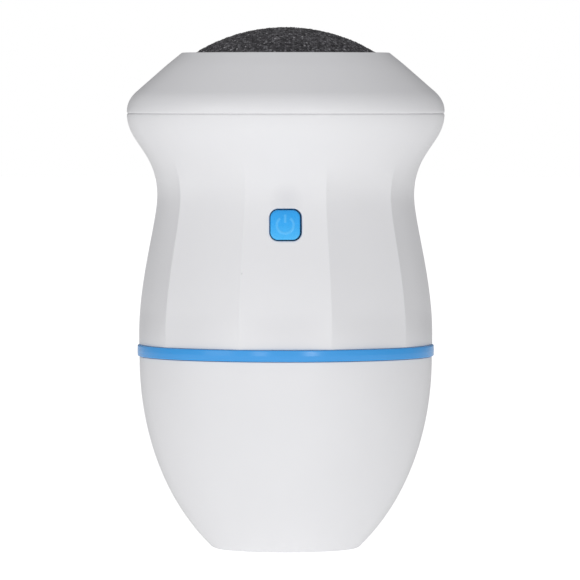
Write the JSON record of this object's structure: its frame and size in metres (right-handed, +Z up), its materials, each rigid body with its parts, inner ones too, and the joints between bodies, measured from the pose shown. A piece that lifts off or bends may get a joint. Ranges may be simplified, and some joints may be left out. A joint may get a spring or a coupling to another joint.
{
  "type": "electric callus remover",
  "caption": "Waisted hand-held callus remover that stands on its rounded battery end, with a faceted grip, a power button and a domed abrasive disc turning in a conical head.",
  "frame": {"origin": "centre of the flat base it stands on", "axes": "+Z up along the disc's turning axis, -Y towards the side with the power button, +X to the right as seen from that side"},
  "size_m": [0.0762, 0.0762, 0.1251],
  "materials": {
    "white_abs": "smooth satin white moulded plastic",
    "blue_abs": "satin sky-blue moulded plastic",
    "grit": "dark mineral abrasive grit bonded to a thin domed backing",
    "pad_foam": "black closed-cell foam",
    "grey_plastic": "light grey moulded plastic",
    "dark_plastic": "dark grey moulded plastic",
    "filter": "open-cell filter foam",
    "seal": "grey silicone rubber",
    "steel": "plated steel",
    "magnet": "black ferrite",
    "brass": "bright brass",
    "copper": "enamelled copper windings and copper segments",
    "nickel": "nickel-plated spring steel",
    "board": "green lacquered circuit board",
    "cell": "printed film jacket over a metal can",
    "red_wire": "red wire insulation",
    "black_wire": "black wire insulation"
  },
  "bodies": {
    "base": {"lower_shell": "white_abs"},
    "housing": {"trim_ring": "blue_abs", "upper_shell": "white_abs", "head_seal": "seal", "fan_shroud": "grey_plastic", "filter_foam": "filter", "filter_frame": "dark_plastic", "motor_deck": "grey_plastic", "deck_screw_1": "steel", "deck_screw_2": "steel", "deck_screw_3": "steel", "motor_screw_1": "steel", "motor_screw_2": "steel", "motor_can": "steel", "motor_end_cap": "dark_plastic", "motor_terminal_1": "brass", "motor_terminal_2": "brass", "motor_bush_rear": "brass", "motor_bush_front": "brass", "motor_magnet_1": "magnet", "motor_magnet_2": "magnet", "switch_body": "dark_plastic", "circuit_board": "board", "board_screw_1": "steel", "board_screw_2": "steel", "battery_holder": "dark_plastic", "holder_screw_1": "steel", "holder_screw_2": "steel", "battery_1": "cell", "battery_2": "cell", "battery_3": "cell", "battery_4": "cell", "contact_spring_1": "nickel", "contact_spring_2": "nickel", "contact_spring_3": "nickel", "contact_spring_4": "nickel", "contact_plus": "nickel", "contact_minus": "nickel", "contact_bridge_top": "nickel", "contact_bridge_rear": "nickel", "contact_bridge_front": "nickel", "wire_battery_red": "red_wire", "wire_motor_red": "red_wire", "wire_battery_black": "black_wire"},
    "head_cover": {"head_cover": "white_abs"},
    "grinding_head": {"abrasive_disc": "grit", "foam_pad": "pad_foam", "disc_carrier": "grey_plastic", "carrier_screw": "steel", "impeller": "blue_abs", "armature_core": "steel", "armature_coil_1": "copper", "armature_coil_2": "copper", "armature_coil_3": "copper", "commutator": "copper", "motor_shaft": "steel"},
    "button": {"power_button": "blue_abs", "switch_plunger": "dark_plastic"}
  },
  "joints": [
    {"name": "housing_lift", "type": "slide", "parent": "base", "child": "housing", "axis": [0, 0, 1], "range_m": [0, 0.05]},
    {"name": "head_cover_lift", "type": "slide", "parent": "housing", "child": "head_cover", "axis": [0, 0, 1], "range_m": [0, 0.03]},
    {"name": "head_spin", "type": "hinge", "parent": "housing", "child": "grinding_head", "pos_m": [0, 0, 0.1], "axis": [0, 0, 1], "continuous": true},
    {"name": "button_press", "type": "slide", "parent": "housing", "child": "button", "axis": [0, 1, 0], "range_m": [0, 0.0012], "stiffness_N_per_m": 800, "springref_m": -0.0005}
  ]
}
